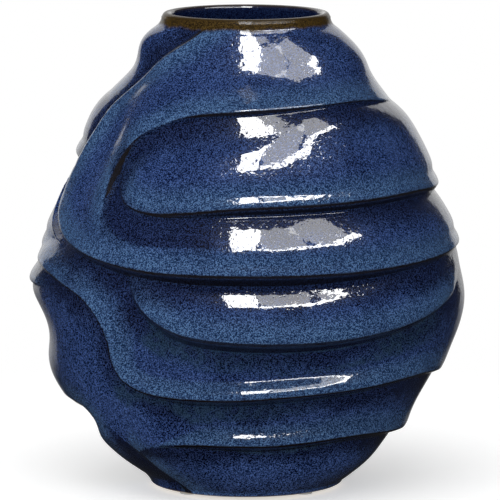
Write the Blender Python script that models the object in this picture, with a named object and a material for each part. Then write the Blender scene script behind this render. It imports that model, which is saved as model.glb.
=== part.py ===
"""Glazed stoneware flower vase with a folded, wave-like relief, standing on four small rubber pads.

The pot is one fired piece: a round mouth and collar, a wall of even thickness that follows
every fold of the relief, a floor, and a bare foot ring. It is drawn as a smooth body of
revolution whose surface is pushed out and in by overlapping folds. Each fold is set by its lip,
a curve that winds round the pot, and the fold that stands highest at a spot shows there.

Lengths are in millimetres here and become metres when a mesh is made. Angles are in degrees,
0 at the front (-Y), growing towards the right (+X). +Z is up and the origin is on the surface
that the vase stands on, under its middle.
"""

from collections import namedtuple

import bmesh
import bpy
import numpy as np
from mathutils import Matrix

MM = 0.001

# ---------------------------------------------------------------- driving dimensions
PAD_THICK = 1.0
PAD_RADIUS = 4.0
PAD_COUNT = 4
PAD_TURN = 45.0
PAD_SIDES = 20
FILM = 0.3  # the adhesive film between a pad and the foot ring
FOOT_Z = PAD_THICK + FILM
TOP_Z = 215.0
MOUTH_RADIUS = 35.6  # middle of the rounded rim
RIM_RADIUS = 2.1  # half the thickness of the rim
COLLAR_Z = 205.0  # the relief dies away from here up to the rim
SKIRT_Z = 7.0  # and from here down to the foot
WALL = 4.6
FLOOR = 6.5
COVE = 14.0  # rounding between the floor and the inside of the wall
FOOT_OUTER = 42.0
FOOT_INNER = 31.0
FOOT_ROUND = 1.6
RECESS = 2.2
MIDDLE = (0.40, -0.47)  # middle of the folded outline, which the finished vase is centred on

COLUMNS = 72
OUTER_ROWS = 52
INNER_ROWS = 14
RIM_ROWS = 6

# Height and radius of the smooth body under the folds.
BODY = [
    (0, 40), (6, 48.5), (13, 57.5), (20, 65), (27, 72), (34, 76.5), (42, 81), (53, 87.5), (64, 93), (75, 96.8),
    (88, 98.6), (101, 97.6), (113, 95.5), (127, 90), (141, 85), (153, 80), (166, 73.4), (171, 70.4),
    (176, 66.8), (181, 62.3), (186, 58.0), (190, 54.9), (194, 52.2), (201, 47.0), (205, 44.1), (207.5, 42.1),
    (209.5, 39.8), (211.5, 38.3), (213, 38.0), (216, 37.6),
]

# Gentle swellings of the body: angle, height, spread in degrees, spread in height, amount.
SWELLINGS = [
    (-74, 204, 26, 9, 5.6),
    (-97, 172, 24, 9, 1.2),
    (-95, 190, 40, 8, -1.8),
    (85, 198, 55, 12, 4.8),
    (-95, 71, 25, 12, -5.0),
    (-95, 26, 32, 13, 3.6),
    (10, 193, 62, 8, -2.4),
    (8, 176, 50, 8, 2.4),
    (-97, 91, 22, 9, 4.0),
    (-58, 158, 12, 30, -6.5),
    (88, 84, 40, 14, 1.4),
]

# A lip is a list of (angle, height, how far the fold stands proud of the body there, its sink).
# lips: the fold lies on their left, seen from outside in the direction in which they run.
# drop: fall of the face under the lip, per millimetre away from it. edge: softness of the lip.
# turn: how much the fold curls down towards its lip, over the last `soft` millimetres.
# Behind its lip a fold sinks by up to the lip's sink, over `reach` millimetres, by the power `curve`.
# A shallow valley, `valley` deep and `place` millimetres behind the lip, leaves a bead along it.
Fold = namedtuple("Fold", "name lips drop edge turn soft reach curve valley place")

OUTER_LIP = [
    (-12, 222, -2.5, 4), (-28, 211, -2.2, 4), (-39, 204, -0.8, 4), (-49.5, 197, 0.9, 4), (-60, 188, 1.0, 4),
    (-67, 178, 0, 4), (-71, 167, -1, 4), (-74, 158, -1.5, 4), (-76, 148, -2, 5), (-77, 138, -2, 6),
    (-75, 129, -1.5, 7), (-68, 122, -1, 8), (-59, 117, -0.5, 11), (-43, 112, 0, 14), (-26, 109, 0, 17),
    (0, 108.5, 0, 20), (29, 108.5, 0, 20), (60, 110, 0.6, 20), (89, 112, 1.2, 18), (130, 114, 0, 13),
    (175, 120, 0, 9), (220, 118, -1, 9), (255, 112, -2, 9), (275, 108, -5, 9), (295, 104, -14, 9),
]
BAND_LIP = [
    *OUTER_LIP[:14], (-28, 109.5, -0.5, 9), (-14, 108, -2.5, 9), (-2, 107, -6, 9), (12, 106, -14, 9),
]
INNER_LIP = [
    (14, 121, -14, 4), (0, 121, -6, 4), (-12, 121, -2.8, 4), (-23, 121, -1.2, 4), (-33, 121.5, -0.4, 4),
    (-41, 126, 0, 4), (-47, 135, 0.5, 4), (-48.5, 146, 0.5, 4), (-46, 156.5, 0.5, 4), (-40, 165, 0.5, 4),
    (-30, 171.5, 0, 3), (-18, 175.5, -0.1, 3), (0, 177.2, 0, 3), (21, 178.3, 0, 3), (44, 179.2, 0.2, 3),
    (60, 178.5, -0.3, 3), (90, 175, -2.3, 3), (120, 174, -3, 3), (150, 175, -7, 3), (180, 178, -14, 3),
]
BACK_LIP = [
    (20, 176, -14, 2), (45, 178, -9, 2), (70, 177, -5, 2), (92, 175, -2.5, 2), (120, 174, -1, 2),
    (170, 177, -0.5, 2), (220, 181, -1, 2), (262, 180, -2, 2), (285, 175, -4, 2), (305, 166, -8, 2),
    (320, 160, -14, 2),
]
TONGUE_LIP = [
    (0, 186, -5, 4), (-22, 182, -5, 4), (-36, 174, -5, 4), (-43, 166, -4.5, 4), (-45.5, 158, -3.5, 4),
    (-45.5, 150, -2.5, 4), (-43, 142, -1.5, 4), (-38, 136, -0.8, 4), (-29, 133.5, -0.3, 4),
    (-18, 134.5, 0, 2.2),
    (0, 137, 0, 2), (30, 138, 0, 3), (60, 139, 0.8, 8), (90, 138, 1.5, 10), (135, 143, 0.5, 9),
    (180, 150, 0, 9), (230, 155, -1, 8), (270, 152, -3, 8), (290, 148, -6, 8), (305, 142, -14, 8),
]
THIRD_LIP = [
    (-38, 118, -9, 26), (-36, 109, -5, 28), (-33, 100, -2.5, 30), (-29, 92, -0.8, 33), (-21, 84, 0.5, 34),
    (-10, 80, 1.4, 34), (10, 78.5, 1.7, 34), (30, 79.5, 1.7, 32), (50, 83.5, 1.5, 24), (70, 91, 0.7, 16),
    (88, 100, -0.4, 12), (130, 98, 0, 12), (180, 89, 0, 18), (230, 89, 0, 18), (262, 92, -1, 16),
    (285, 93, -5, 14), (300, 93, -14, 14),
]
FOURTH_LIP = [
    (-130, 113, -9, 5), (-108, 109, -4.5, 5), (-90, 105.5, -3.0, 6), (-78, 104.5, -1.2, 8),
    (-68, 102.5, -0.3, 9),
    (-58, 99, -0.5, 6), (-49, 94.5, -0.5, 6), (-43, 87, -0.5, 7), (-40, 77, -0.5, 9), (-40, 67, -0.5, 11),
    (-37, 58, 0, 12), (-28, 53, 0, 12), (-8, 52, 0.5, 13), (15, 53.8, 0.5, 13), (35, 55.3, 0.5, 11),
    (60, 57.3, 0.5, 6), (85, 54, 0.5, 1), (130, 48, 0, 2), (180, 50, 0, 6), (230, 58, 0, 8),
    (255, 62, -3, 8), (275, 64, -7, 8), (290, 64, -14, 8),
]
PANEL_LIP = [
    (-165, 52, -9, 8), (-140, 51, -4, 8), (-115, 46, 1, 9), (-96, 42, 2.5, 10), (-78, 42, 1.5, 12),
    (-68, 41, 0.5, 13), (-63, 36, 0, 13), (-65, 29, -0.5, 11), (-72, 21, -1, 10), (-84, 13, -2, 8),
    (-96, 4, -2, 8), (-105, -6, -2, 8),
]
FIFTH_LIP = [
    (-68, 13, -9, 8), (-54, 19, -5, 9), (-41, 25, -2, 10), (-27, 28.5, -0.3, 10), (-14, 29.5, 0, 10),
    (10, 29.5, 0, 10), (38, 31.5, 0, 9), (60, 30, 0, 6), (85, 27, 0, 2), (130, 22, 0, 3), (180, 26, 0, 5),
    (215, 30, -3, 5), (245, 30, -9, 5),
]
SIXTH_LIP = [
    (-66, 48, -9, 8), (-57, 38, -5, 9), (-49, 27, -2, 10), (-44, 16, -1, 12), (-40, 8, -1, 14),
    (-32, 1, -0.5, 15), (-20, -5, 0, 15), (0, -8, 0, 15), (40, -8, 0, 12), (80, -8, 0, 3), (120, -8, -1, 6),
    (160, -8, -4, 12), (190, -8, -9, 12),
]

FOLDS = [
    Fold("shoulder", [BAND_LIP, INNER_LIP], 2.0, 1.0, 1.6, 2.5, 60.0, 2.0, 0.0, 6.0),
    Fold("back", [BACK_LIP], 1.5, 1.2, 1.5, 4.0, 60.0, 2.0, 0.0, 6.0),
    Fold("second", [OUTER_LIP], 1.6, 0.9, 1.2, 2.0, 36.0, 3.5, 1.0, 6.0),
    Fold("tongue", [TONGUE_LIP], 1.4, 0.9, 1.2, 2.0, 43.0, 8.0, 1.1, 6.5),
    Fold("third", [THIRD_LIP], 1.8, 1.6, 3.6, 3.6, 45.0, 1.5, 1.0, 10.0),
    Fold("fourth", [FOURTH_LIP], 2.2, 0.9, 1.0, 1.5, 8.5, 2.0, 0.0, 6.0),
    Fold("panel", [PANEL_LIP], 1.2, 1.2, 2.0, 5.0, 50.0, 2.0, 0.0, 6.0),
    Fold("fifth", [FIFTH_LIP], 2.0, 0.9, 1.0, 1.5, 7.5, 2.0, 0.0, 6.0),
    Fold("sixth", [SIXTH_LIP], 1.2, 1.2, 1.0, 4.0, 42.0, 4.0, 0.0, 6.0),
]
CORE = -15.0  # level of the plain wall behind the folds
FADED = -8.5  # a lip that ends lower than this runs out there, and its fold stops
BLEND = 0.45  # rounding of the creases where two folds meet
LIP_SAMPLES = 260


def catmull(knots, count):
    """A smooth curve through rows of numbers, as `count` evenly spread samples."""
    knots = np.asarray(knots, float)
    padded = np.vstack([2 * knots[0] - knots[1], knots, 2 * knots[-1] - knots[-2]])
    place = np.linspace(0, len(knots) - 1 - 1e-9, count)
    i = place.astype(int)
    t = (place - i)[:, None]
    a, b, c, d = (padded[i + k] for k in range(4))
    return 0.5 * (2 * b + (c - a) * t + (2 * a - 5 * b + 4 * c - d) * t**2 + (3 * b - a - 3 * c + d) * t**3)


BODY_CURVE = catmull(BODY, 600)


def body_radius(z):
    return np.interp(z, BODY_CURVE[:, 0], BODY_CURVE[:, 1])


def on_body(angle, z):
    """Points of the smooth body, and its outward directions there."""
    a = np.radians(angle)
    radius = body_radius(z)
    slope = (body_radius(z + 0.5) - body_radius(z - 0.5)) / 1.0
    points = np.stack([radius * np.sin(a), -radius * np.cos(a), z], -1)
    out = np.stack([np.sin(a), -np.cos(a), -slope], -1)
    return points, out / np.linalg.norm(out, axis=-1, keepdims=True)


def lip_field(points, lip):
    """How far each point is from a lip, and how proud the fold is and how far it sinks there.

    The first distance is exact and positive on the left of the lip. The second one and the two
    heights are averaged over the lip, so that a fold stays smooth where its lip turns a corner.
    """
    samples = catmull(lip, LIP_SAMPLES)
    line, out = on_body(samples[:, 0], samples[:, 1])
    along = np.gradient(line, axis=0)
    step = np.linalg.norm(along, axis=1)
    along = along / step[:, None]
    left = np.cross(out, along)
    square = (points**2).sum(1)[:, None] + (line**2).sum(1) - 2 * points @ line.T
    near = square.argmin(1)
    gap = points - line[near]
    forward = np.clip((gap * along[near]).sum(1), -step[near], step[near])
    across = np.linalg.norm(gap - forward[:, None] * along[near], axis=1)
    side = np.where((gap * left[near]).sum(1) < 0, -1.0, 1.0)
    weight = step / (square + 6.0) ** 3
    total = weight.sum(1)
    proud, sink = (weight @ samples[:, 2:4]).T / total
    for end, way in ((0, -1), (LIP_SAMPLES - 1, 1)):
        if samples[end, 2] < FADED:
            beyond = way * ((points - line[end]) * along[end]).sum(1)
            proud = proud - 0.6 * np.where(near == end, np.maximum(beyond, 0), 0)
    smooth = (total * 8 / (3 * np.pi)) ** -0.2
    return across * side, smooth, proud, sink


def soft_min(a, b, k):
    h = np.clip(0.5 + 0.5 * (b - a) / k, 0, 1)
    return b + (a - b) * h - k * h * (1 - h)


def fold_height(points, fold, cache):
    """Height of one fold over the smooth body; it ends at whichever of its lips is nearer."""
    fields = []
    for lip in fold.lips:
        if id(lip) not in cache:
            cache[id(lip)] = lip_field(points, lip)
        fields.append(cache[id(lip)])
    distance, smooth, proud, sink = fields[0]
    for d, s, p, q in fields[1:]:
        weight = 1 / (1 + (s / smooth) ** 3)
        proud = proud * (1 - weight) + p * weight
        sink = sink * (1 - weight) + q * weight
        smooth = (smooth**-3 + s**-3) ** (-1 / 3)
        distance = soft_min(distance, d, 3.0)
    inside = np.where(distance > 0, smooth, 0)
    top = -sink * (1 - np.exp(-((inside / fold.reach) ** fold.curve)))
    top -= fold.turn * np.exp(-inside / fold.soft)
    top -= fold.valley * np.exp(-(((inside - fold.place) / (0.45 * fold.place)) ** 2))
    face = fold.drop * distance + fold.edge - fold.turn
    return proud + soft_min(top, face, 2 * fold.edge)


def relief(angle, z):
    """How far the wall stands proud of the smooth body, for arrays of angle and height."""
    points, _ = on_body(angle.ravel(), z.ravel())
    cache = {}
    heights = [np.full(len(points), CORE)]
    heights += [fold_height(points, fold, cache) for fold in FOLDS]
    top = np.max(heights, axis=0)
    total = sum(np.exp((height - top) / BLEND) for height in heights)
    result = (top + BLEND * np.log(total)).reshape(angle.shape)
    for centre, level, wide, tall, amount in SWELLINGS:
        turn = (angle - centre + 180) % 360 - 180
        result = result + amount * np.exp(-((turn / wide) ** 2) - ((z - level) / tall) ** 2)
    upper = np.clip((TOP_Z - RIM_RADIUS - z) / (TOP_Z - RIM_RADIUS - COLLAR_Z), 0, 1)
    lower = np.clip((z - FOOT_Z) / (SKIRT_Z - FOOT_Z), 0, 1)
    return result * upper**2 * (3 - 2 * upper) * lower**2 * (3 - 2 * lower)


def blur(field, reach):
    """Smooth a field over its neighbours: rows are heights, columns go round the pot."""
    for _ in range(reach):
        field = (np.roll(field, 1, 1) + 2 * field + np.roll(field, -1, 1)) / 4
        padded = np.vstack([field[:1], field, field[-1:]])
        field = (padded[:-2] + 2 * field + padded[2:]) / 4
    return field


def spread(z, radius, rows, crowd):
    """Rows along every profile, evenly apart or crowded where the profile bends most."""
    rise, out = np.diff(z), np.diff(radius, axis=0)
    length = np.hypot(out, rise[:, None])
    heading = np.arctan2(out, rise[:, None])
    bend = np.abs(np.gradient(heading, axis=0))
    bend = blur(bend, 4)
    weight = length * (1 + crowd * np.minimum(bend / bend.mean(), 4))
    total = np.vstack([np.zeros(radius.shape[1]), np.cumsum(weight, axis=0)])
    heights = np.empty((rows + 1, radius.shape[1]))
    radii = np.empty_like(heights)
    for c in range(radius.shape[1]):
        wanted = np.linspace(0, total[-1, c], rows + 1)
        heights[:, c] = np.interp(wanted, total[:, c], z)
        radii[:, c] = np.interp(wanted, total[:, c], radius[:, c])
    return heights, radii


def outer_surface(columns, rows, crowd=0.6, fine=430):
    """Angles, heights and radii of the outer wall, from the foot to the rim."""
    angle = np.linspace(-180, 180, columns, endpoint=False)
    z = np.linspace(FOOT_Z + FOOT_ROUND, TOP_Z - RIM_RADIUS, fine)
    a, b = np.meshgrid(angle, z)
    heights, radii = spread(z, body_radius(b) + relief(a, b), rows, crowd)
    return angle, heights, radii


def inner_surface(columns, rows, fine=140):
    """The inside of the wall from the rim down to the floor, at least WALL away from the outside."""
    angle = np.linspace(-180, 180, columns, endpoint=False)
    base = FOOT_Z + FLOOR
    z = np.linspace(base, TOP_Z - RIM_RADIUS, fine)
    a, b = np.meshgrid(angle, z)
    radius = body_radius(b) + relief(a, b)
    near = radius
    for step in range(-4, 5):
        shifted = radius[np.clip(np.arange(fine) + step, 0, fine - 1)]
        for turn in (-1, 0, 1):
            near = np.minimum(near, np.roll(shifted, turn, 1))
    near = blur(near, 6) - WALL
    mouth = MOUTH_RADIUS - RIM_RADIUS
    part = np.clip((b - 196.0) / (TOP_Z - RIM_RADIUS - 196.0), 0, 1)
    part = part**2 * (3 - 2 * part)
    near = near * (1 - part) + mouth * part
    low = np.clip((base + COVE - b) / COVE, 0, 1)
    near = near - COVE * (1 - np.sqrt(1 - low**2))
    heights, radii = spread(z, near, rows, 0.0)
    return heights[::-1], radii[::-1]


# ---------------------------------------------------------------- building the meshes
def clear_scene():
    for item in list(bpy.data.objects):
        bpy.data.objects.remove(item, do_unlink=True)


def material(name, colour, roughness):
    look = bpy.data.materials.new(name)
    look.use_nodes = True
    shader = look.node_tree.nodes["Principled BSDF"]
    shader.inputs["Base Color"].default_value = (*colour, 1.0)
    shader.inputs["Roughness"].default_value = roughness
    return look


def ring_points(angle, height, radius):
    a = np.radians(angle)
    height = np.broadcast_to(height, a.shape)
    return np.stack([radius * np.sin(a), -radius * np.cos(a), height], -1)


def add_mesh(name, mesh, look):
    mesh.transform(Matrix.Translation((-MIDDLE[0] * MM, -MIDDLE[1] * MM, 0)))
    item = bpy.data.objects.new(name, mesh)
    bpy.context.scene.collection.objects.link(item)
    mesh.materials.append(look)
    return item


def vase_body(columns, outer_rows, inner_rows):
    """The fired pot: rings of points from the bottom middle, up outside, over the rim, down inside."""
    angle, outer_z, outer_r = outer_surface(columns, outer_rows)
    inner_z, inner_r = inner_surface(columns, inner_rows)
    rings = []
    roof = FOOT_Z + RECESS
    for radius, level in ((12.0, roof), (FOOT_INNER - 1.5, roof), (FOOT_INNER, FOOT_Z)):
        rings.append(ring_points(angle, level, np.full(columns, radius)))
    rings.append(ring_points(angle, FOOT_Z, np.full(columns, FOOT_OUTER)))
    for part in (30, 60):
        p = np.radians(part)
        level = FOOT_Z + FOOT_ROUND * (1 - np.cos(p))
        rings.append(ring_points(angle, level, FOOT_OUTER + (outer_r[0] - FOOT_OUTER) * np.sin(p)))
    for level, radius in zip(outer_z, outer_r):
        rings.append(ring_points(angle, level, radius))
    for k in range(1, RIM_ROWS):
        p = np.pi * k / RIM_ROWS
        level = TOP_Z - RIM_RADIUS + RIM_RADIUS * np.sin(p)
        rings.append(ring_points(angle, level, np.full(columns, MOUTH_RADIUS + RIM_RADIUS * np.cos(p))))
    for level, radius in zip(inner_z, inner_r):
        rings.append(ring_points(angle, level, radius))
    rings.append(ring_points(angle, FOOT_Z + FLOOR, np.full(columns, 14.0)))
    points = np.concatenate(rings)
    points = np.vstack([points, [0, 0, roof], [0, 0, FOOT_Z + FLOOR]])
    faces = []
    for row in range(len(rings) - 1):
        for c in range(columns):
            d = (c + 1) % columns
            low, high = row * columns, (row + 1) * columns
            faces.append((low + c, low + d, high + d, high + c))
    last = (len(rings) - 1) * columns
    bottom, floor = len(points) - 2, len(points) - 1
    for c in range(columns):
        d = (c + 1) % columns
        faces.append((bottom, d, c))
        faces.append((floor, last + c, last + d))
    mesh = bpy.data.meshes.new("vase_body")
    mesh.from_pydata((points * MM).tolist(), [], faces)
    mesh.shade_smooth()
    return mesh


def pad(name, turn):
    """One round self-adhesive pad under the foot ring."""
    radius = (FOOT_INNER + FOOT_OUTER) / 2
    x, y = radius * np.sin(np.radians(turn)), -radius * np.cos(np.radians(turn))
    form = bmesh.new()
    bmesh.ops.create_cone(
        form, cap_ends=True, segments=PAD_SIDES, radius1=PAD_RADIUS * MM, radius2=PAD_RADIUS * MM,
        depth=PAD_THICK * MM,
    )
    bmesh.ops.translate(form, verts=form.verts, vec=(x * MM, y * MM, PAD_THICK / 2 * MM))
    mesh = bpy.data.meshes.new(name)
    form.to_mesh(mesh)
    form.free()
    return mesh


clear_scene()
glaze = material("blue glaze", (0.02, 0.06, 0.25), 0.1)
rubber = material("clear grey rubber", (0.35, 0.35, 0.34), 0.5)
add_mesh("vase_body", vase_body(COLUMNS, OUTER_ROWS, INNER_ROWS), glaze)
for k in range(PAD_COUNT):
    place = PAD_TURN + 360.0 * k / PAD_COUNT
    name = f"foot_pad_{k + 1}"
    add_mesh(name, pad(name, place), rubber)
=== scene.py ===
"""Looks of the folded blue stoneware vase: fine glazed pot, foot pads, floor, light and camera.

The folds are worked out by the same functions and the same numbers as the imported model, on a
finer grid. Lengths in the fold data are millimetres and angles are degrees, 0 at the front (-Y)
and growing towards +X. Everything in the scene itself is in metres.
"""

from collections import namedtuple

import bmesh
import bpy
import numpy as np
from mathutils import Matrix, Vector


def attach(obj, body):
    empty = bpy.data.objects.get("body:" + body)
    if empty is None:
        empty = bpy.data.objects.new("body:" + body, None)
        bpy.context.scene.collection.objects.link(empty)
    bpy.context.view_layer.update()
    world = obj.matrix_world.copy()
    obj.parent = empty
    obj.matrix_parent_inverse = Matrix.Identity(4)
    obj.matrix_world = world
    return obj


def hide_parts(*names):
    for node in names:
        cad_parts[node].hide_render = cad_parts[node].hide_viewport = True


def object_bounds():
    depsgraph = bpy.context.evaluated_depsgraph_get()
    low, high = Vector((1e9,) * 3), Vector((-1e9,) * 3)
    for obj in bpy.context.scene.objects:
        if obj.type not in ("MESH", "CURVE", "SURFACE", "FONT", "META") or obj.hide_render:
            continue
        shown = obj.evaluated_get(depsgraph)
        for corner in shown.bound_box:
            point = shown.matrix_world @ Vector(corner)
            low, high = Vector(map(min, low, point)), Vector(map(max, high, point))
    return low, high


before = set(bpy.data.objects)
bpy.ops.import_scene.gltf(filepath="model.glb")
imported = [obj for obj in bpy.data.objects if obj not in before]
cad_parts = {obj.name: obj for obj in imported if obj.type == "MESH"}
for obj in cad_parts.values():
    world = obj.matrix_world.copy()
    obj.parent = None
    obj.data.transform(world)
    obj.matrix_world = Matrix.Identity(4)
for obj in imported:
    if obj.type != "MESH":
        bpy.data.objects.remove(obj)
cad_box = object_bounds()

MM = 0.001

# ---------------------------------------------------------------- driving dimensions
PAD_THICK = 1.0
PAD_RADIUS = 4.0
PAD_COUNT = 4
PAD_TURN = 45.0
FILM = 0.3  # the adhesive film between a pad and the foot ring
FOOT_Z = PAD_THICK + FILM
TOP_Z = 215.0
MOUTH_RADIUS = 35.6  # middle of the rounded rim
RIM_RADIUS = 2.1  # half the thickness of the rim
COLLAR_Z = 205.0  # the relief dies away from here up to the rim
SKIRT_Z = 7.0  # and from here down to the foot
WALL = 4.6
FLOOR = 6.5
COVE = 14.0  # rounding between the floor and the inside of the wall
FOOT_OUTER = 42.0
FOOT_INNER = 31.0
FOOT_ROUND = 1.6
RECESS = 2.2
MIDDLE = (0.40, -0.47)  # middle of the folded outline, which the finished vase is centred on

NECK_Z = 196.0  # from here up the inside closes in to the round mouth

COLUMNS = 360
OUTER_ROWS = 210
INNER_ROWS = 26
OUTER_STEPS = 520  # heights at which the outer profile is worked out before the rows are placed
INNER_STEPS = 140
CROWD = 0.6  # how strongly rows gather where the outer profile bends
RIM_STEPS = 16
PAD_SIDES = 64
PAD_ROUND = 0.25

# Height and radius of the smooth body under the folds.
BODY = [
    (0, 40), (6, 48.5), (13, 57.5), (20, 65), (27, 72), (34, 76.5), (42, 81), (53, 87.5), (64, 93),
    (75, 96.8), (88, 98.6), (101, 97.6), (113, 95.5), (127, 90), (141, 85), (153, 80), (166, 73.4),
    (171, 70.4), (176, 66.8), (181, 62.3), (186, 58.0), (190, 54.9), (194, 52.2), (201, 47.0),
    (205, 44.1), (207.5, 42.1), (209.5, 39.8), (211.5, 38.3), (213, 38.0), (216, 37.6),
]

# Gentle swellings of the body: angle, height, spread in degrees, spread in height, amount.
SWELLINGS = [
    (-74, 204, 26, 9, 5.6),
    (-97, 172, 24, 9, 1.2),
    (-95, 190, 40, 8, -1.8),
    (85, 198, 55, 12, 4.8),
    (-95, 71, 25, 12, -5.0),
    (-95, 26, 32, 13, 3.6),
    (10, 193, 62, 8, -2.4),
    (8, 176, 50, 8, 2.4),
    (-97, 91, 22, 9, 4.0),
    (-58, 158, 12, 30, -6.5),
    (88, 84, 40, 14, 1.4),
]

# A lip is a list of (angle, height, how far the fold stands proud of the body there, its sink).
# lips: the fold lies on their left, seen from outside in the direction in which they run.
# drop: fall of the face under the lip, per millimetre away from it. edge: softness of the lip.
# turn: how much the fold curls down towards its lip, over the last `soft` millimetres.
# Behind its lip a fold sinks by up to the lip's sink, over `reach` millimetres and by the power
# `curve`.
# A shallow valley, `valley` deep and `place` millimetres behind the lip, leaves a bead along it.
Fold = namedtuple("Fold", "name lips drop edge turn soft reach curve valley place")

OUTER_LIP = [
    (-12, 222, -2.5, 4), (-28, 211, -2.2, 4), (-39, 204, -0.8, 4), (-49.5, 197, 0.9, 4), (-60, 188, 1.0, 4),
    (-67, 178, 0, 4), (-71, 167, -1, 4), (-74, 158, -1.5, 4), (-76, 148, -2, 5), (-77, 138, -2, 6),
    (-75, 129, -1.5, 7), (-68, 122, -1, 8), (-59, 117, -0.5, 11), (-43, 112, 0, 14), (-26, 109, 0, 17),
    (0, 108.5, 0, 20), (29, 108.5, 0, 20), (60, 110, 0.6, 20), (89, 112, 1.2, 18), (130, 114, 0, 13),
    (175, 120, 0, 9), (220, 118, -1, 9), (255, 112, -2, 9), (275, 108, -5, 9), (295, 104, -14, 9),
]
BAND_LIP = [
    *OUTER_LIP[:14], (-28, 109.5, -0.5, 9), (-14, 108, -2.5, 9), (-2, 107, -6, 9), (12, 106, -14, 9),
]
INNER_LIP = [
    (14, 121, -14, 4), (0, 121, -6, 4), (-12, 121, -2.8, 4), (-23, 121, -1.2, 4), (-33, 121.5, -0.4, 4),
    (-41, 126, 0, 4), (-47, 135, 0.5, 4), (-48.5, 146, 0.5, 4), (-46, 156.5, 0.5, 4), (-40, 165, 0.5, 4),
    (-30, 171.5, 0, 3), (-18, 175.5, -0.1, 3), (0, 177.2, 0, 3), (21, 178.3, 0, 3), (44, 179.2, 0.2, 3),
    (60, 178.5, -0.3, 3), (90, 175, -2.3, 3), (120, 174, -3, 3), (150, 175, -7, 3), (180, 178, -14, 3),
]
BACK_LIP = [
    (20, 176, -14, 2), (45, 178, -9, 2), (70, 177, -5, 2), (92, 175, -2.5, 2), (120, 174, -1, 2),
    (170, 177, -0.5, 2), (220, 181, -1, 2), (262, 180, -2, 2), (285, 175, -4, 2), (305, 166, -8, 2),
    (320, 160, -14, 2),
]
TONGUE_LIP = [
    (0, 186, -5, 4), (-22, 182, -5, 4), (-36, 174, -5, 4), (-43, 166, -4.5, 4), (-45.5, 158, -3.5, 4),
    (-45.5, 150, -2.5, 4), (-43, 142, -1.5, 4), (-38, 136, -0.8, 4), (-29, 133.5, -0.3, 4),
    (-18, 134.5, 0, 2.2), (0, 137, 0, 2), (30, 138, 0, 3), (60, 139, 0.8, 8), (90, 138, 1.5, 10),
    (135, 143, 0.5, 9), (180, 150, 0, 9), (230, 155, -1, 8), (270, 152, -3, 8), (290, 148, -6, 8),
    (305, 142, -14, 8),
]
THIRD_LIP = [
    (-38, 118, -9, 26), (-36, 109, -5, 28), (-33, 100, -2.5, 30), (-29, 92, -0.8, 33), (-21, 84, 0.5, 34),
    (-10, 80, 1.4, 34), (10, 78.5, 1.7, 34), (30, 79.5, 1.7, 32), (50, 83.5, 1.5, 24), (70, 91, 0.7, 16),
    (88, 100, -0.4, 12), (130, 98, 0, 12), (180, 89, 0, 18), (230, 89, 0, 18), (262, 92, -1, 16),
    (285, 93, -5, 14), (300, 93, -14, 14),
]
FOURTH_LIP = [
    (-130, 113, -9, 5), (-108, 109, -4.5, 5), (-90, 105.5, -3.0, 6), (-78, 104.5, -1.2, 8),
    (-68, 102.5, -0.3, 9), (-58, 99, -0.5, 6), (-49, 94.5, -0.5, 6), (-43, 87, -0.5, 7),
    (-40, 77, -0.5, 9), (-40, 67, -0.5, 11), (-37, 58, 0, 12), (-28, 53, 0, 12), (-8, 52, 0.5, 13),
    (15, 53.8, 0.5, 13), (35, 55.3, 0.5, 11), (60, 57.3, 0.5, 6), (85, 54, 0.5, 1), (130, 48, 0, 2),
    (180, 50, 0, 6), (230, 58, 0, 8), (255, 62, -3, 8), (275, 64, -7, 8), (290, 64, -14, 8),
]
PANEL_LIP = [
    (-165, 52, -9, 8), (-140, 51, -4, 8), (-115, 46, 1, 9), (-96, 42, 2.5, 10), (-78, 42, 1.5, 12),
    (-68, 41, 0.5, 13), (-63, 36, 0, 13), (-65, 29, -0.5, 11), (-72, 21, -1, 10), (-84, 13, -2, 8),
    (-96, 4, -2, 8), (-105, -6, -2, 8),
]
FIFTH_LIP = [
    (-68, 13, -9, 8), (-54, 19, -5, 9), (-41, 25, -2, 10), (-27, 28.5, -0.3, 10), (-14, 29.5, 0, 10),
    (10, 29.5, 0, 10), (38, 31.5, 0, 9), (60, 30, 0, 6), (85, 27, 0, 2), (130, 22, 0, 3), (180, 26, 0, 5),
    (215, 30, -3, 5), (245, 30, -9, 5),
]
SIXTH_LIP = [
    (-66, 48, -9, 8), (-57, 38, -5, 9), (-49, 27, -2, 10), (-44, 16, -1, 12), (-40, 8, -1, 14),
    (-32, 1, -0.5, 15), (-20, -5, 0, 15), (0, -8, 0, 15), (40, -8, 0, 12), (80, -8, 0, 3), (120, -8, -1, 6),
    (160, -8, -4, 12), (190, -8, -9, 12),
]

FOLDS = [
    Fold("shoulder", [BAND_LIP, INNER_LIP], 2.0, 1.0, 1.6, 2.5, 60.0, 2.0, 0.0, 6.0),
    Fold("back", [BACK_LIP], 1.5, 1.2, 1.5, 4.0, 60.0, 2.0, 0.0, 6.0),
    Fold("second", [OUTER_LIP], 1.6, 0.9, 1.2, 2.0, 36.0, 3.5, 1.0, 6.0),
    Fold("tongue", [TONGUE_LIP], 1.4, 0.9, 1.2, 2.0, 43.0, 8.0, 1.1, 6.5),
    Fold("third", [THIRD_LIP], 1.8, 1.6, 3.6, 3.6, 45.0, 1.5, 1.0, 10.0),
    Fold("fourth", [FOURTH_LIP], 2.2, 0.9, 1.0, 1.5, 8.5, 2.0, 0.0, 6.0),
    Fold("panel", [PANEL_LIP], 1.2, 1.2, 2.0, 5.0, 50.0, 2.0, 0.0, 6.0),
    Fold("fifth", [FIFTH_LIP], 2.0, 0.9, 1.0, 1.5, 7.5, 2.0, 0.0, 6.0),
    Fold("sixth", [SIXTH_LIP], 1.2, 1.2, 1.0, 4.0, 42.0, 4.0, 0.0, 6.0),
]
CORE = -15.0  # level of the plain wall behind the folds
FADED = -8.5  # a lip that ends lower than this runs out there, and its fold stops
BLEND = 0.45  # rounding of the creases where two folds meet
LIP_SAMPLES = 260


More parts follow.
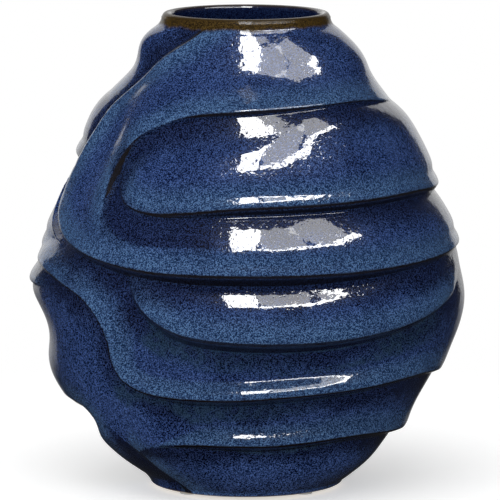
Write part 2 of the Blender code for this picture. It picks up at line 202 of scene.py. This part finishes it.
def catmull(knots, count):
    """A smooth curve through rows of numbers, as `count` evenly spread samples."""
    knots = np.asarray(knots, float)
    padded = np.vstack([2 * knots[0] - knots[1], knots, 2 * knots[-1] - knots[-2]])
    place = np.linspace(0, len(knots) - 1 - 1e-9, count)
    i = place.astype(int)
    t = (place - i)[:, None]
    a, b, c, d = (padded[i + k] for k in range(4))
    square, cube = 2 * a - 5 * b + 4 * c - d, 3 * b - a - 3 * c + d
    return 0.5 * (2 * b + (c - a) * t + square * t**2 + cube * t**3)


BODY_CURVE = catmull(BODY, 600)


def body_radius(z):
    return np.interp(z, BODY_CURVE[:, 0], BODY_CURVE[:, 1])


def on_body(angle, z):
    """Points of the smooth body, and its outward directions there."""
    a = np.radians(angle)
    radius = body_radius(z)
    slope = (body_radius(z + 0.5) - body_radius(z - 0.5)) / 1.0
    points = np.stack([radius * np.sin(a), -radius * np.cos(a), z], -1)
    out = np.stack([np.sin(a), -np.cos(a), -slope], -1)
    return points, out / np.linalg.norm(out, axis=-1, keepdims=True)


def lip_field(points, lip):
    """How far each point is from a lip, and how proud the fold is and how far it sinks there.

    The first distance is exact and positive on the left of the lip. The second one and the two
    heights are averaged over the lip, so that a fold stays smooth where its lip turns a corner.
    """
    samples = catmull(lip, LIP_SAMPLES)
    line, out = on_body(samples[:, 0], samples[:, 1])
    along = np.gradient(line, axis=0)
    step = np.linalg.norm(along, axis=1)
    along = along / step[:, None]
    left = np.cross(out, along)
    square = (points**2).sum(1)[:, None] + (line**2).sum(1) - 2 * points @ line.T
    near = square.argmin(1)
    gap = points - line[near]
    forward = np.clip((gap * along[near]).sum(1), -step[near], step[near])
    across = np.linalg.norm(gap - forward[:, None] * along[near], axis=1)
    side = np.where((gap * left[near]).sum(1) < 0, -1.0, 1.0)
    weight = step / (square + 6.0) ** 3
    total = weight.sum(1)
    proud, sink = (weight @ samples[:, 2:4]).T / total
    for end, way in ((0, -1), (LIP_SAMPLES - 1, 1)):
        if samples[end, 2] < FADED:
            beyond = way * ((points - line[end]) * along[end]).sum(1)
            proud = proud - 0.6 * np.where(near == end, np.maximum(beyond, 0), 0)
    smooth = (total * 8 / (3 * np.pi)) ** -0.2
    return across * side, smooth, proud, sink


def soft_min(a, b, k):
    h = np.clip(0.5 + 0.5 * (b - a) / k, 0, 1)
    return b + (a - b) * h - k * h * (1 - h)


def fold_height(points, fold, cache):
    """Height of one fold over the smooth body; it ends at whichever of its lips is nearer."""
    fields = []
    for lip in fold.lips:
        if id(lip) not in cache:
            cache[id(lip)] = lip_field(points, lip)
        fields.append(cache[id(lip)])
    distance, smooth, proud, sink = fields[0]
    for d, s, p, q in fields[1:]:
        weight = 1 / (1 + (s / smooth) ** 3)
        proud = proud * (1 - weight) + p * weight
        sink = sink * (1 - weight) + q * weight
        smooth = (smooth**-3 + s**-3) ** (-1 / 3)
        distance = soft_min(distance, d, 3.0)
    inside = np.where(distance > 0, smooth, 0)
    top = -sink * (1 - np.exp(-((inside / fold.reach) ** fold.curve)))
    top -= fold.turn * np.exp(-inside / fold.soft)
    top -= fold.valley * np.exp(-(((inside - fold.place) / (0.45 * fold.place)) ** 2))
    face = fold.drop * distance + fold.edge - fold.turn
    return proud + soft_min(top, face, 2 * fold.edge)


def relief(angle, z):
    """How far the wall stands proud of the smooth body, for arrays of angle and height."""
    points, _ = on_body(angle.ravel(), z.ravel())
    cache = {}
    heights = [np.full(len(points), CORE)]
    heights += [fold_height(points, fold, cache) for fold in FOLDS]
    top = np.max(heights, axis=0)
    total = sum(np.exp((height - top) / BLEND) for height in heights)
    result = (top + BLEND * np.log(total)).reshape(angle.shape)
    for centre, level, wide, tall, amount in SWELLINGS:
        turn = (angle - centre + 180) % 360 - 180
        result = result + amount * np.exp(-((turn / wide) ** 2) - ((z - level) / tall) ** 2)
    upper = np.clip((TOP_Z - RIM_RADIUS - z) / (TOP_Z - RIM_RADIUS - COLLAR_Z), 0, 1)
    lower = np.clip((z - FOOT_Z) / (SKIRT_Z - FOOT_Z), 0, 1)
    return result * upper**2 * (3 - 2 * upper) * lower**2 * (3 - 2 * lower)


def blur(field, reach):
    """Smooth a field over its neighbours: rows are heights, columns go round the pot."""
    for _ in range(reach):
        field = (np.roll(field, 1, 1) + 2 * field + np.roll(field, -1, 1)) / 4
        padded = np.vstack([field[:1], field, field[-1:]])
        field = (padded[:-2] + 2 * field + padded[2:]) / 4
    return field


def spread(z, radius, rows, crowd):
    """Rows along every profile, evenly apart or crowded where the profile bends most."""
    rise, out = np.diff(z), np.diff(radius, axis=0)
    length = np.hypot(out, rise[:, None])
    heading = np.arctan2(out, rise[:, None])
    bend = np.abs(np.gradient(heading, axis=0))
    bend = blur(bend, 4)
    weight = length * (1 + crowd * np.minimum(bend / bend.mean(), 4))
    total = np.vstack([np.zeros(radius.shape[1]), np.cumsum(weight, axis=0)])
    heights = np.empty((rows + 1, radius.shape[1]))
    radii = np.empty_like(heights)
    for c in range(radius.shape[1]):
        wanted = np.linspace(0, total[-1, c], rows + 1)
        heights[:, c] = np.interp(wanted, total[:, c], z)
        radii[:, c] = np.interp(wanted, total[:, c], radius[:, c])
    return heights, radii


def outer_surface(columns, rows):
    """Angles, heights and radii of the outer wall, from the foot to the rim."""
    angle = np.linspace(-180, 180, columns, endpoint=False)
    z = np.linspace(FOOT_Z + FOOT_ROUND, TOP_Z - RIM_RADIUS, OUTER_STEPS)
    a, b = np.meshgrid(angle, z)
    heights, radii = spread(z, body_radius(b) + relief(a, b), rows, CROWD)
    return angle, heights, radii


def inner_surface(columns, rows):
    """The inside of the wall from the rim down to the floor, WALL or more from the outside."""
    angle = np.linspace(-180, 180, columns, endpoint=False)
    base = FOOT_Z + FLOOR
    z = np.linspace(base, TOP_Z - RIM_RADIUS, INNER_STEPS)
    a, b = np.meshgrid(angle, z)
    radius = body_radius(b) + relief(a, b)
    near = radius
    for step in range(-4, 5):
        shifted = radius[np.clip(np.arange(INNER_STEPS) + step, 0, INNER_STEPS - 1)]
        for turn in (-1, 0, 1):
            near = np.minimum(near, np.roll(shifted, turn, 1))
    near = blur(near, 6) - WALL
    mouth = MOUTH_RADIUS - RIM_RADIUS
    part = np.clip((b - NECK_Z) / (TOP_Z - RIM_RADIUS - NECK_Z), 0, 1)
    part = part**2 * (3 - 2 * part)
    near = near * (1 - part) + mouth * part
    low = np.clip((base + COVE - b) / COVE, 0, 1)
    near = near - COVE * (1 - np.sqrt(1 - low**2))
    heights, radii = spread(z, near, rows, 0.0)
    return heights[::-1], radii[::-1]


# ---------------------------------------------------------------- colours and stage
GRAIN = (0.452, 0.556)  # range of the speckle noise that is spread over each colour
# Each colour of the glaze, and of the painted shade: its dark, middle and light specks.
DEEP = ((0.0008, 0.0032, 0.019), (0.0030, 0.0098, 0.050), (0.031, 0.064, 0.195))
BLUE = ((0.0015, 0.0075, 0.040), (0.0066, 0.0205, 0.088), (0.065, 0.120, 0.310))
TEAL = ((0.003, 0.016, 0.060), (0.0138, 0.043, 0.120), (0.105, 0.205, 0.370))
# Painted shade, laid under each lip and inside the mouth.
PAINTED_SHADE = ((0.0005, 0.0009, 0.005), (0.0024, 0.005, 0.026), (0.012, 0.022, 0.076))
MURK = ((0.004, 0.014, 0.034), (0.028, 0.062, 0.110))  # dull glaze gathered in the creases
MURK_BELOW = (0.085, 0.098)  # it fades out between these heights
# Painted shade, together with the glaze breaking thin there:
UNDERSIDE_SHADE_AND_GLAZE_BREAK = (0.0035, 0.003, 0.0032)  # the steep faces under the lips
EDGE = (0.012, 0.009, 0.005)  # thin dark glaze along the lips
BROWN = ((0.010, 0.006, 0.002), (0.032, 0.019, 0.005), (0.085, 0.052, 0.014))
CLAY = ((0.42, 0.34, 0.25), (0.56, 0.47, 0.36))
RIPPLE = 0.28  # strength of the soft waves in the glaze
FLOOR_SIZE = 3.0
FLOOR_FADE = (0.10, 0.34)  # distances from the middle between which the floor fades out
FLOOR_GLOW = 0.45
ROOM_TURN = -177.5  # azimuth of the middle of the white wall that is mirrored in the glaze
ROOM_EDGE = (0.84, 0.86)  # cosine of the angle from that middle at which the wall ends
ROOM_LOW = (-0.3, 0.0)  # height in the direction at which it ends at the bottom
ROOM_DARK = 0.02
ROOM_LIGHT = 1.0
GLOW = (1.6, 0.05)  # soft light from the front and from the back
GLOW_TURN = -25.0  # azimuth of that front
SOFTBOX_TO = (0.0, 0.0, 0.13)
SOFTBOX_AWAY = 2.0
# name, azimuth range, elevation range, radiance, panels side by side, shines, lights
SOFTBOXES = [
    ("key_bright", (-11, 9), (44, 68), 24.0, 1, True, False),
    ("key_grey", (9, 80), (47, 68), 5.0, 2, True, False),
    ("key_strip", (9, 82), (44, 47), 24.0, 4, True, False),
    ("key_soft", (-45, 30), (38, 72), 1.6, 1, False, True),
]
LENS = 373.2
CAMERA_AT = (-0.0004, -2.31953, 0.438)
CAMERA_TO = (0.0014, 0.00047, 0.1069)


# ---------------------------------------------------------------- the fine pot
FAR = 50.0  # distances from a lip are stored as shares of this
DEEP_GAP = 10.0  # and crease depths as shares of this


def glaze_and_shade_masks(angle, z):
    """How far behind the lip of the fold on top, how far below the lip above, and crease depth."""
    points, _ = on_body(angle.ravel(), z.ravel())
    cache = {}
    heights = np.array([fold_height(points, fold, cache) for fold in FOLDS])
    order = np.sort(heights, axis=0)
    share = np.exp((heights - order[-1]) / 0.5)
    share /= share.sum(0)
    own = np.zeros(len(points))
    under = np.full(len(points), FAR)
    for fold, part in zip(FOLDS, share):
        fields = [cache[id(lip)] for lip in fold.lips]
        nearest = np.min([field[0] for field in fields], axis=0)
        proud = np.max([field[2] for field in fields], axis=0)
        own += part * np.clip(nearest, -12, FAR)
        below = np.where(nearest < 0.4, np.maximum(-nearest, 0), FAR)
        under = np.minimum(under, below + 5.0 * np.maximum(-1.5 - proud, 0))
    gap = np.minimum(order[-1] - order[-2], DEEP_GAP)
    shares = (own / FAR, under / FAR, gap / DEEP_GAP)
    return [field.reshape(angle.shape) for field in shares]


def smooth_step(value, low, high):
    t = np.clip((value - low) / (high - low), 0, 1)
    return t * t * (3 - 2 * t)


def fine_vase(columns, outer_rows, inner_rows):
    """The fired pot as one closed mesh, with masks for the glaze and the painted shade stored at its
    vertices.
    """
    angle, outer_z, outer_r = outer_surface(columns, outer_rows)
    inner_z, inner_r = inner_surface(columns, inner_rows)
    grid = np.broadcast_to(angle, outer_z.shape)
    fields = glaze_and_shade_masks(grid, outer_z)
    rings, masks = [], []
    plain = np.tile([1.0, 1.0, 1.0, 0.0], (columns, 1))

    def add(level, radius, mask):
        rings.append(ring_points(angle, level, np.broadcast_to(radius, angle.shape)))
        masks.append(mask)

    bare = np.tile([1.0, 1.0, 1.0, 1.0], (columns, 1))
    roof = FOOT_Z + RECESS
    add(roof, 10.0, bare)
    add(roof, FOOT_INNER - 2.5, bare)
    for part in (0, 30, 60, 90):
        p = np.radians(part)
        add(roof - 0.7 * (1 - np.cos(p)), FOOT_INNER - 1.2 + 0.7 * np.sin(p) - 0.7, bare)
    for part in (60, 30, 0):
        p = np.radians(part)
        add(FOOT_Z + 0.6 * (1 - np.cos(p)), FOOT_INNER + 0.6 - 0.6 * np.sin(p) - 0.6, bare)
    add(FOOT_Z, FOOT_OUTER - 3.0, bare)
    add(FOOT_Z, FOOT_OUTER, bare)
    for part in (15, 30, 45, 60, 75):
        p = np.radians(part)
        level = FOOT_Z + FOOT_ROUND * (1 - np.cos(p))
        clay = np.full(columns, 1 - smooth_step(part, 20, 60))
        lowest = [fields[0][0], fields[1][0], fields[2][0], clay]
        add(level, FOOT_OUTER + (outer_r[0] - FOOT_OUTER) * np.sin(p), np.stack(lowest, -1))
    for level, radius, near, low, gap in zip(outer_z, outer_r, *fields):
        add(level, radius, np.stack([near, low, gap, np.zeros(columns)], -1))
    for k in range(1, RIM_STEPS):
        p = np.pi * k / RIM_STEPS
        level = TOP_Z - RIM_RADIUS + RIM_RADIUS * np.sin(p)
        add(level, MOUTH_RADIUS + RIM_RADIUS * np.cos(p), plain)
    for level, radius in zip(inner_z, inner_r):
        add(level, radius, plain)
    add(FOOT_Z + FLOOR, 24.0, plain)
    add(FOOT_Z + FLOOR, 8.0, plain)
    points = np.vstack([*rings, [[0, 0, roof]], [[0, 0, FOOT_Z + FLOOR]]])
    points -= (MIDDLE[0], MIDDLE[1], 0)
    points = np.clip(points, *(np.array(cad_box) / MM))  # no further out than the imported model
    masks = np.vstack([*masks, bare[:1], plain[:1]])
    count = len(rings)
    index = np.arange(count * columns).reshape(count, columns)
    after = np.roll(index, -1, axis=1)
    quads = np.stack([index[:-1], after[:-1], after[1:], index[1:]], -1).reshape(-1, 4).tolist()
    bottom, floor = len(points) - 2, len(points) - 1
    quads += [(bottom, b, a) for a, b in zip(index[0].tolist(), after[0].tolist())]
    quads += [(floor, a, b) for a, b in zip(index[-1].tolist(), after[-1].tolist())]
    mesh = bpy.data.meshes.new("vase")
    mesh.from_pydata((points * MM).tolist(), [], quads)
    layer = mesh.color_attributes.new("glaze_and_shade_fields", "FLOAT_COLOR", "POINT")
    layer.data.foreach_set("color", masks.astype(np.float32).ravel())
    mesh.shade_smooth()
    return mesh


def ring_points(angle, height, radius):
    a = np.radians(angle)
    height = np.broadcast_to(height, a.shape)
    return np.stack([radius * np.sin(a), -radius * np.cos(a), height], -1)


def add_object(name, mesh, material):
    item = bpy.data.objects.new(name, mesh)
    bpy.context.scene.collection.objects.link(item)
    mesh.materials.append(material)
    return item


def fine_pad(name, turn):
    """One small rubber pad with rounded edges, under the foot ring."""
    radius = (FOOT_INNER + FOOT_OUTER) / 2
    x = radius * np.sin(np.radians(turn)) - MIDDLE[0]
    y = -radius * np.cos(np.radians(turn)) - MIDDLE[1]
    form = bmesh.new()
    bmesh.ops.create_cone(
        form, cap_ends=True, segments=PAD_SIDES, radius1=PAD_RADIUS * MM,
        radius2=PAD_RADIUS * MM, depth=PAD_THICK * MM,
    )
    rims = [e for e in form.edges if abs(e.verts[0].co.z - e.verts[1].co.z) < 1e-7]
    bmesh.ops.bevel(form, geom=rims, offset=PAD_ROUND * MM, segments=4, profile=0.5, affect="EDGES")
    bmesh.ops.translate(form, verts=form.verts, vec=(x * MM, y * MM, PAD_THICK / 2 * MM))
    mesh = bpy.data.meshes.new(name)
    form.to_mesh(mesh)
    form.free()
    mesh.shade_smooth()
    return mesh


# ---------------------------------------------------------------- materials
class Look:
    """A material under construction, with short ways to add and join nodes."""

    def __init__(self, name):
        self.material = bpy.data.materials.new(name)
        self.material.use_nodes = True
        self.tree = self.material.node_tree
        self.shader = self.tree.nodes["Principled BSDF"]

    def node(self, kind, **settings):
        made = self.tree.nodes.new(kind)
        for key, value in settings.items():
            setattr(made, key, value)
        return made

    def join(self, source, target):
        self.tree.links.new(source, target)

    def noise(self, place, scale, detail=2.0, rough=0.5, stretch=(1, 1, 1)):
        mapping = self.node("ShaderNodeMapping")
        mapping.inputs["Scale"].default_value = stretch
        self.join(place, mapping.inputs["Vector"])
        made = self.node("ShaderNodeTexNoise")
        made.inputs["Scale"].default_value = scale
        made.inputs["Detail"].default_value = detail
        made.inputs["Roughness"].default_value = rough
        self.join(mapping.outputs[0], made.inputs["Vector"])
        return made.outputs["Fac"]

    def ramp(self, value, *stops):
        made = self.node("ShaderNodeValToRGB")
        band = made.color_ramp
        while len(band.elements) < len(stops):
            band.elements.new(0.5)
        for element, (spot, colour) in zip(band.elements, stops):
            element.position = spot
            element.color = (*colour, 1.0)
        self.join(value, made.inputs["Fac"])
        return made.outputs["Color"]

    def specks(self, grain, colours):
        """Dark, middle and light specks, evenly along the grain."""
        return self.ramp(grain, *zip((0.0, 0.5, 1.0), colours))

    def fit(self, value, low, high, to_low=0.0, to_high=1.0, smooth=False):
        made = self.node("ShaderNodeMapRange")
        made.interpolation_type = "SMOOTHSTEP" if smooth else "LINEAR"
        limits = {"From Min": low, "From Max": high, "To Min": to_low, "To Max": to_high}
        for key, number in limits.items():
            made.inputs[key].default_value = number
        self.join(value, made.inputs["Value"])
        return made.outputs[0]

    def math(self, operation, a, b=None):
        made = self.node("ShaderNodeMath", operation=operation)
        for slot, value in zip(made.inputs, (a, b)):
            if value is None:
                continue
            if isinstance(value, (int, float)):
                slot.default_value = value
            else:
                self.join(value, slot)
        return made.outputs[0]

    def mix(self, share, a, b):
        made = self.node("ShaderNodeMix", data_type="RGBA")
        for slot, value in ((made.inputs[0], share), (made.inputs[6], a), (made.inputs[7], b)):
            if isinstance(value, (int, float)):
                slot.default_value = value
            elif isinstance(value, tuple):
                slot.default_value = (*value, 1.0)
            else:
                self.join(value, slot)
        return made.outputs[2]


def glaze_look():
    """Speckled blue glaze that follows the folds, brown on the rim, with bare clay under the foot, and
    painted shade under the lips and inside the mouth.
    """
    look = Look("blue reactive glaze")
    place = look.node("ShaderNodeTexCoord").outputs["Object"]
    fields = look.node("ShaderNodeAttribute", attribute_name="glaze_and_shade_fields")
    split = look.node("ShaderNodeSeparateColor")
    look.join(fields.outputs["Color"], split.inputs[0])
    clay = fields.outputs["Alpha"]
    xyz = look.node("ShaderNodeSeparateXYZ")
    look.join(place, xyz.inputs[0])
    height = xyz.outputs["Z"]

    # Specks of several sizes, and the slow drift of the colour.
    fleck = look.noise(place, 1450.0, 2.0, 0.65)
    fine = look.noise(place, 2900.0, 1.0, 0.5)
    cloud = look.noise(place, 60.0, 4.0, 0.6, (1, 1, 0.6))
    curdle = look.noise(place, 260.0, 3.0, 0.6)
    clump = look.noise(place, 620.0, 2.0, 0.6)
    grain = look.math("ADD", look.math("MULTIPLY", fleck, 0.55), look.math("MULTIPLY", fine, 0.33))
    grain = look.math("ADD", grain, look.math("MULTIPLY", clump, 0.12))
    grain = look.fit(grain, *GRAIN)
    drift = look.fit(cloud, 0.32, 0.68)

    # Distances from the lips in millimetres, their edges made uneven by the clouds of the glaze.
    wander = look.fit(cloud, 0.3, 0.7, -1.6, 1.6)
    wander = look.math("ADD", wander, look.fit(curdle, 0.3, 0.7, -0.9, 0.9))
    behind = look.math("MULTIPLY", split.outputs[0], FAR)
    below = look.math("MULTIPLY", split.outputs[1], FAR)
    gap = look.math("MULTIPLY", split.outputs[2], DEEP_GAP)
    behind_rough = look.math("ADD", behind, wander)
    below_rough = look.math("ADD", below, look.math("MULTIPLY", wander, 1.5))

    # Blue all over, teal where the glaze pools along a lip, painted shade in the shelter of the lip above.
    deep, blue, teal, dark = (look.specks(grain, colours) for colours in (DEEP, BLUE, TEAL, PAINTED_SHADE))
    body = look.mix(look.fit(drift, 0.0, 1.0, 0.15, 1.0), deep, blue)
    pool = look.fit(behind_rough, 3.5, 16.0, 1.0, 0.0, True)
    pool = look.math("MULTIPLY", pool, look.fit(drift, 0.0, 1.0, 0.5, 0.9))
    body = look.mix(pool, body, teal)
    # Painted shade: darker blue over the top of each band, under the lip above.
    shade_under_lip = look.fit(below_rough, 6.5, 19.0, 1.0, 0.0, True)
    body = look.mix(look.math("MULTIPLY", shade_under_lip, 0.85), body, dark)
    # Near black on the faces under the lips: painted shade, with the glaze breaking thin there.
    wall = look.fit(behind, -0.4, -2.4, 0.0, 0.92, True)
    body = look.mix(wall, body, UNDERSIDE_SHADE_AND_GLAZE_BREAK)

    # Dull glaze in the creases of the lower bands, and a thin dark line along every lip.
    crease = look.fit(gap, 0.3, 1.6, 1.0, 0.0, True)
    crease = look.math("MULTIPLY", crease, look.fit(height, *MURK_BELOW, 0.7, 0.0, True))
    crease = look.math("MULTIPLY", crease, look.fit(below, 14.0, 18.0, 1.0, 0.0, True))
    crease = look.math("MULTIPLY", crease, look.fit(curdle, 0.42, 0.56, 0.25, 1.0))
    body = look.mix(crease, body, look.ramp(grain, (0.0, MURK[0]), (1.0, MURK[1])))
    from_edge = look.math("ABSOLUTE", look.math("ADD", behind, 0.1))
    worn = look.fit(from_edge, 0.3, 1.2, 1.0, 0.0, True)
    worn = look.math("MULTIPLY", worn, look.fit(fleck, 0.4, 0.6, 0.55, 0.95))
    body = look.mix(worn, body, EDGE)

    # Brown where the glaze breaks over the rim, with a wavy lower border.
    wave = look.fit(cloud, 0.3, 0.7, -0.0014, 0.0014)
    lifted = look.math("ADD", height, wave)
    rim = look.fit(lifted, (TOP_Z - 5.6) * MM, (TOP_Z - 3.8) * MM, 0.0, 1.0, True)
    squares = [look.math("POWER", xyz.outputs[axis], 2.0) for axis in ("X", "Y")]
    radius = look.math("SQRT", look.math("ADD", *squares))
    outside = look.fit(radius, (MOUTH_RADIUS - 1.0) * MM, (MOUTH_RADIUS + 0.5) * MM, 0.0, 1.0, True)
    rim = look.math("MULTIPLY", rim, outside)
    body = look.mix(rim, body, look.specks(grain, BROWN))

    # Painted shade inside the mouth, brown on the very top, bare clay under the foot.
    shade_in_mouth = look.math("SUBTRACT", 1.0, outside)
    shade_in_mouth = look.math("MULTIPLY", shade_in_mouth, look.fit(height, 0.15, 0.17, 0.0, 0.75, True))
    body = look.mix(shade_in_mouth, body, PAINTED_SHADE[1])
    lip = look.fit(height, (TOP_Z - 1.6) * MM, (TOP_Z - 0.3) * MM, 0.0, 0.8, True)
    body = look.mix(lip, body, BROWN[1])
    sand = look.ramp(look.noise(place, 900.0, 3.0, 0.6), (0.3, CLAY[0]), (0.7, CLAY[1]))
    body = look.mix(clay, body, sand)
    look.join(body, look.shader.inputs["Base Color"])

    # A glossy glaze over a softer body: none on the clay, less on the rim.
    rough = look.fit(grain, 0.0, 1.0, 0.34, 0.24)
    rough = look.math("MAXIMUM", rough, look.math("MULTIPLY", clay, 0.8))
    look.join(rough, look.shader.inputs["Roughness"])
    coat = look.fit(clay, 0.0, 0.6, 1.0, 0.0)
    coat = look.math("SUBTRACT", coat, look.math("MULTIPLY", rim, 0.8))
    look.join(coat, look.shader.inputs["Coat Weight"])
    look.shader.inputs["Coat Roughness"].default_value = 0.03
    look.shader.inputs["Coat IOR"].default_value = 1.55
    look.shader.inputs["IOR"].default_value = 1.45
    look.shader.inputs["Specular IOR Level"].default_value = 0.06

    ripple = look.noise(place, 150.0, 2.0, 0.5)
    pits = look.fit(look.noise(place, 750.0, 1.0, 0.5), 0.6, 0.78)
    swell = look.node("ShaderNodeBump")
    swell.inputs["Strength"].default_value = RIPPLE
    swell.inputs["Distance"].default_value = 0.0006
    look.join(ripple, swell.inputs["Height"])
    dimple = look.node("ShaderNodeBump", invert=True)
    dimple.inputs["Strength"].default_value = 0.15
    dimple.inputs["Distance"].default_value = 0.0002
    look.join(pits, dimple.inputs["Height"])
    look.join(swell.outputs[0], dimple.inputs["Normal"])
    look.join(dimple.outputs[0], look.shader.inputs["Normal"])
    look.join(dimple.outputs[0], look.shader.inputs["Coat Normal"])
    return look.material


def rubber_look():
    """Matt rubber with a fine grain."""
    look = Look("soft grey rubber")
    place = look.node("ShaderNodeTexCoord").outputs["Object"]
    grain = look.noise(place, 3000.0, 2.0, 0.6)
    greys = look.ramp(grain, (0.3, (0.42, 0.42, 0.41)), (0.7, (0.5, 0.5, 0.49)))
    look.join(greys, look.shader.inputs["Base Color"])
    look.join(look.fit(grain, 0.3, 0.7, 0.42, 0.6), look.shader.inputs["Roughness"])
    bump = look.node("ShaderNodeBump")
    bump.inputs["Strength"].default_value = 0.2
    bump.inputs["Distance"].default_value = 0.0001
    look.join(grain, bump.inputs["Height"])
    look.join(bump.outputs[0], look.shader.inputs["Normal"])
    return look.material


def floor_look():
    """Matt white paper that fades out into the white surroundings away from the vase."""
    look = Look("pale floor")
    place = look.node("ShaderNodeTexCoord").outputs["Object"]
    soft = look.noise(place, 3.0, 2.0, 0.5)
    whites = look.ramp(soft, (0.3, (0.88, 0.88, 0.88)), (0.7, (0.9, 0.9, 0.9)))
    look.join(whites, look.shader.inputs["Base Color"])
    look.shader.inputs["Roughness"].default_value = 0.9
    look.shader.inputs["Emission Color"].default_value = (1, 1, 1, 1)
    look.shader.inputs["Emission Strength"].default_value = FLOOR_GLOW
    far = look.node("ShaderNodeVectorMath", operation="LENGTH")
    look.join(place, far.inputs[0])
    fade = look.fit(far.outputs["Value"], *FLOOR_FADE, 1.0, 0.0, True)
    look.join(fade, look.shader.inputs["Alpha"])
    return look.material


# ---------------------------------------------------------------- putting it together
vase = add_object("vase", fine_vase(COLUMNS, OUTER_ROWS, INNER_ROWS), glaze_look())
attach(vase, "root")
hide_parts("vase_body")

rubber = rubber_look()
for k in range(PAD_COUNT):
    name = f"rubber_pad_{k + 1}"
    pad = add_object(name, fine_pad(name, PAD_TURN + 360.0 * k / PAD_COUNT), rubber)
    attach(pad, "root")
    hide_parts(f"foot_pad_{k + 1}")


# ---------------------------------------------------------------- floor, light and camera
def aim(item, target):
    item.rotation_mode = "QUATERNION"
    item.rotation_quaternion = (Vector(target) - item.location).to_track_quat("-Z", "Y")


def softbox(name, azimuth, elevation, radiance, parts, shines, lights):
    """Glowing panels side by side that fill a range of directions, seen from the vase.

    shines: the panels are mirrored in the glaze. lights: they cast light and shadows.
    """
    left, right = azimuth
    low, high = elevation
    step = (right - left) / parts
    up = np.radians((low + high) / 2)
    for k in range(parts):
        turn = np.radians(left + step * (k + 0.5))
        light = bpy.data.lights.new(name, "AREA")
        light.shape = "RECTANGLE"
        light.size = 2 * SOFTBOX_AWAY * np.cos(up) * np.tan(np.radians(step / 2))
        light.size_y = 2 * SOFTBOX_AWAY * np.tan(np.radians((high - low) / 2))
        light.energy = radiance * light.size * light.size_y * np.pi
        item = bpy.data.objects.new(f"{name}_{k + 1}", light)
        way = Vector((np.sin(turn) * np.cos(up), -np.cos(turn) * np.cos(up), np.sin(up)))
        item.location = Vector(SOFTBOX_TO) + SOFTBOX_AWAY * way
        aim(item, SOFTBOX_TO)
        item.visible_camera = False
        item.visible_glossy = shines
        item.visible_diffuse = lights
        bpy.context.scene.collection.objects.link(item)


half = FLOOR_SIZE / 2
floor_mesh = bpy.data.meshes.new("floor")
corners = [(-half, -half), (half, -half), (half, half), (-half, half)]
floor_mesh.from_pydata([(x, y, -0.0002) for x, y in corners], [], [(0, 1, 2, 3)])
floor = add_object("floor", floor_mesh, floor_look())
floor.visible_glossy = False
floor.visible_diffuse = False


def studio_world():
    """White paper to the camera, an even glow for soft light, and a dark room in reflections."""
    world = bpy.data.worlds.new("studio")
    world.use_nodes = True
    tree = world.node_tree
    paper = tree.nodes["Background"]
    paper.inputs["Color"].default_value = (1, 1, 1, 1)
    paper.inputs["Strength"].default_value = 1.0

    def node(kind, **values):
        made = tree.nodes.new(kind)
        for key, value in values.items():
            made.inputs[key].default_value = value
        return made

    def towards(way, azimuth):
        """The part of a direction that points to an azimuth."""
        made = node("ShaderNodeVectorMath")
        made.operation = "DOT_PRODUCT"
        turn = np.radians(azimuth)
        made.inputs[1].default_value = (np.sin(turn), -np.cos(turn), 0)
        tree.links.new(way, made.inputs[0])
        return made.outputs["Value"]

    direction = node("ShaderNodeTexCoord")
    parts = node("ShaderNodeSeparateXYZ")
    tree.links.new(direction.outputs["Generated"], parts.inputs[0])
    flat = node("ShaderNodeVectorMath")
    flat.operation = "MULTIPLY"
    flat.inputs[1].default_value = (1, 1, 0)
    tree.links.new(direction.outputs["Generated"], flat.inputs[0])
    compass = node("ShaderNodeVectorMath")
    compass.operation = "NORMALIZE"
    tree.links.new(flat.outputs["Vector"], compass.inputs[0])
    facing = towards(compass.outputs["Vector"], ROOM_TURN)
    behind = node("ShaderNodeMapRange", **{"From Min": ROOM_EDGE[0], "From Max": ROOM_EDGE[1]})
    tree.links.new(facing, behind.inputs["Value"])
    above = node("ShaderNodeMapRange", **{"From Min": ROOM_LOW[0], "From Max": ROOM_LOW[1]})
    tree.links.new(parts.outputs["Z"], above.inputs["Value"])
    both = node("ShaderNodeMath")
    both.operation = "MULTIPLY"
    tree.links.new(behind.outputs[0], both.inputs[0])
    tree.links.new(above.outputs[0], both.inputs[1])
    level = node("ShaderNodeMapRange", **{"To Min": ROOM_DARK, "To Max": ROOM_LIGHT})
    tree.links.new(both.outputs[0], level.inputs["Value"])
    room = node("ShaderNodeBackground")
    tree.links.new(level.outputs[0], room.inputs["Strength"])

    slope = node("ShaderNodeMapRange", **{"From Min": 1.0, "From Max": -1.0})
    slope.inputs["To Min"].default_value, slope.inputs["To Max"].default_value = GLOW
    tree.links.new(towards(direction.outputs["Generated"], GLOW_TURN), slope.inputs["Value"])
    glow = node("ShaderNodeBackground")
    tree.links.new(slope.outputs[0], glow.inputs["Strength"])

    path = node("ShaderNodeLightPath")
    unseen = node("ShaderNodeMixShader")
    tree.links.new(path.outputs["Is Glossy Ray"], unseen.inputs[0])
    tree.links.new(glow.outputs[0], unseen.inputs[1])
    tree.links.new(room.outputs[0], unseen.inputs[2])
    choose = node("ShaderNodeMixShader")
    tree.links.new(path.outputs["Is Camera Ray"], choose.inputs[0])
    tree.links.new(unseen.outputs[0], choose.inputs[1])
    tree.links.new(paper.outputs[0], choose.inputs[2])
    tree.links.new(choose.outputs[0], tree.nodes["World Output"].inputs["Surface"])
    return world


bpy.context.scene.world = studio_world()
for settings in SOFTBOXES:
    softbox(*settings)

camera = bpy.data.cameras.new("camera")
camera.lens = LENS
camera.sensor_width = 36.0
camera.clip_start = 0.05
view = bpy.data.objects.new("camera", camera)
view.location = CAMERA_AT
aim(view, CAMERA_TO)
bpy.context.scene.collection.objects.link(view)
bpy.context.scene.camera = view
bpy.context.scene.view_settings.view_transform = "Standard"
